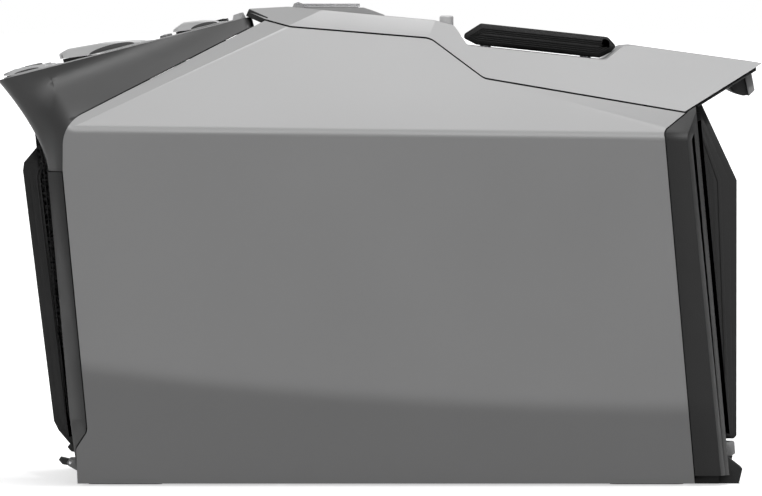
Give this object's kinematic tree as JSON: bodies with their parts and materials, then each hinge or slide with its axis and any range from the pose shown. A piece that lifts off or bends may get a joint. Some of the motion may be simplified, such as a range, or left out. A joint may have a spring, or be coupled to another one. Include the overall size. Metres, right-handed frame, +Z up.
{
  "type": "portable power station",
  "caption": "Box-shaped portable power station with a sloping control dash, hinged socket flaps, pop-up carry grip, rear grab lip, lash ring and vented rear.",
  "frame": {"origin": "on the floor, under the middle of the overall box", "axes": "+X from the control dash at the front to the vents at the rear, +Y across to the right-hand side, +Z up"},
  "size_m": [0.5397, 0.3, 0.34],
  "materials": {
    "silver_shell": "satin silver paint over moulded plastic",
    "dark_frame": "fine black texture",
    "dash_grey": "satin dark grey",
    "panel_grey": "satin light grey",
    "flap_grey": "satin light grey",
    "black_rubber": "matt",
    "gloss_black": "gloss",
    "port_plastic": "matt",
    "button_plastic": "satin",
    "steel": "brushed",
    "hook_grey": "satin",
    "cell_can": "blue sleeve over aluminium can",
    "sheet_metal": "mill finish",
    "copper": "plated",
    "circuit_board": "solder mask",
    "ferrite": "matt",
    "capacitor_sleeve": "shrink sleeve",
    "fan_plastic": "satin"
  },
  "bodies": {
    "housing": {"base_tray": "dark_frame", "left_side_shell": "silver_shell", "right_side_shell": "silver_shell", "top_cover": "silver_shell", "seam_gasket": "black_rubber", "eave_liner": "dark_frame", "front_frame": "dark_frame", "front_bumper": "black_rubber", "rear_frame": "dark_frame", "rear_vent_cowl": "dark_frame", "rear_grab_lip": "hook_grey", "rear_grab_pad": "black_rubber", "base_feet": "black_rubber", "base_screws": "steel", "rear_sill": "black_rubber", "rear_heel_feet": "black_rubber", "rear_hooks": "hook_grey", "latch_bases": "hook_grey", "dash_cowl": "dash_grey", "control_panel": "panel_grey", "flap_pins": "steel", "flap_gaskets": "black_rubber", "ac_sockets": "port_plastic", "dc_port_module": "port_plastic", "usb_port_module": "port_plastic", "input_ports": "port_plastic", "display": "gloss_black", "control_board": "circuit_board", "grip_well": "dark_frame", "lash_ring_mount": "silver_shell", "small_pins": "steel", "battery_cells": "cell_can", "cell_tray": "sheet_metal", "busbars": "copper", "bms_board": "circuit_board", "bulkhead": "sheet_metal", "inverter_board": "circuit_board", "heat_sink": "sheet_metal", "inverter_coils": "ferrite", "capacitors": "capacitor_sleeve", "fan_housings": "fan_plastic"},
    "grip": {"carry_grip": "black_rubber", "grip_core": "steel"},
    "ac_button_body": {"ac_button": "button_plastic"},
    "ac_flap_1_body": {"ac_flap_1": "flap_grey"},
    "ac_flap_2_body": {"ac_flap_2": "flap_grey"},
    "ac_flap_3_body": {"ac_flap_3": "flap_grey"},
    "dc_button_body": {"dc_button": "button_plastic"},
    "dc_flap_body": {"dc_flap": "flap_grey"},
    "fan_rotor_left_body": {"fan_rotor_left": "fan_plastic"},
    "fan_rotor_right_body": {"fan_rotor_right": "fan_plastic"},
    "grip_release_button_body": {"grip_release_button": "flap_grey"},
    "input_flap_body": {"input_flap": "flap_grey"},
    "lash_ring_body": {"lash_ring": "steel"},
    "latch_lever_left_body": {"latch_lever_left": "port_plastic"},
    "latch_lever_right_body": {"latch_lever_right": "port_plastic"},
    "light_button_body": {"light_button": "button_plastic"},
    "power_button_body": {"power_button": "button_plastic"},
    "solar_flap_body": {"solar_flap": "flap_grey"},
    "usb_flap_body": {"usb_flap": "flap_grey"}
  },
  "joints": [
    {"name": "ac_flap_1_hinge", "type": "hinge", "parent": "housing", "child": "ac_flap_1_body", "pos_m": [-0.16531, -0.064, 0.31047], "axis": [0, 1, 0], "range_deg": [0, 105]},
    {"name": "ac_flap_2_hinge", "type": "hinge", "parent": "housing", "child": "ac_flap_2_body", "pos_m": [-0.16531, 0, 0.31047], "axis": [0, 1, 0], "range_deg": [0, 105]},
    {"name": "ac_flap_3_hinge", "type": "hinge", "parent": "housing", "child": "ac_flap_3_body", "pos_m": [-0.16531, 0.064, 0.31047], "axis": [0, 1, 0], "range_deg": [0, 105]},
    {"name": "dc_flap_hinge", "type": "hinge", "parent": "housing", "child": "dc_flap_body", "pos_m": [-0.11005, -0.051, 0.32445], "axis": [0, 1, 0], "range_deg": [0, 105]},
    {"name": "usb_flap_hinge", "type": "hinge", "parent": "housing", "child": "usb_flap_body", "pos_m": [-0.11005, 0.051, 0.32445], "axis": [0, 1, 0], "range_deg": [0, 105]},
    {"name": "input_flap_hinge", "type": "hinge", "parent": "housing", "child": "input_flap_body", "pos_m": [-0.23201, -0.085, 0.29359], "axis": [0, 1, 0], "range_deg": [0, 90]},
    {"name": "solar_flap_hinge", "type": "hinge", "parent": "housing", "child": "solar_flap_body", "pos_m": [-0.23201, 0.085, 0.29359], "axis": [0, 1, 0], "range_deg": [0, 90]},
    {"name": "ac_button_press", "type": "slide", "parent": "housing", "child": "ac_button_body", "axis": [0.2453, 0, -0.9694], "range_m": [0, 0.0012], "stiffness_N_per_m": 600, "springref_m": -0.0004},
    {"name": "dc_button_press", "type": "slide", "parent": "housing", "child": "dc_button_body", "axis": [0.2453, 0, -0.9694], "range_m": [0, 0.0012], "stiffness_N_per_m": 600, "springref_m": -0.0004},
    {"name": "power_button_press", "type": "slide", "parent": "housing", "child": "power_button_body", "axis": [0.2453, 0, -0.9694], "range_m": [0, 0.0012], "stiffness_N_per_m": 600, "springref_m": -0.0004},
    {"name": "light_button_press", "type": "slide", "parent": "housing", "child": "light_button_body", "axis": [0.2453, 0, -0.9694], "range_m": [0, 0.0012], "stiffness_N_per_m": 600, "springref_m": -0.0004},
    {"name": "grip_release_press", "type": "slide", "parent": "housing", "child": "grip_release_button_body", "axis": [0, 0, -1], "range_m": [0, 0.002], "stiffness_N_per_m": 600, "springref_m": -0.0005},
    {"name": "grip_slide", "type": "slide", "parent": "housing", "child": "grip", "axis": [0.107, 0, 0.9943], "range_m": [0, 0.02]},
    {"name": "lash_ring_hinge", "type": "hinge", "parent": "housing", "child": "lash_ring_body", "pos_m": [-0.059, 0, 0.3382], "axis": [0, -1, 0], "range_deg": [0, 150]},
    {"name": "latch_lever_left_hinge", "type": "hinge", "parent": "housing", "child": "latch_lever_left_body", "pos_m": [-0.2194, -0.099, 0.0144], "axis": [0, 1, 0], "range_deg": [0, 60]},
    {"name": "latch_lever_right_hinge", "type": "hinge", "parent": "housing", "child": "latch_lever_right_body", "pos_m": [-0.2194, 0.099, 0.0144], "axis": [0, 1, 0], "range_deg": [0, 60]},
    {"name": "fan_rotor_left_spin", "type": "hinge", "parent": "housing", "child": "fan_rotor_left_body", "pos_m": [0.20733, -0.055, 0.204], "axis": [1, 0, 0], "continuous": true},
    {"name": "fan_rotor_right_spin", "type": "hinge", "parent": "housing", "child": "fan_rotor_right_body", "pos_m": [0.20733, 0.055, 0.204], "axis": [1, 0, 0], "continuous": true}
  ]
}
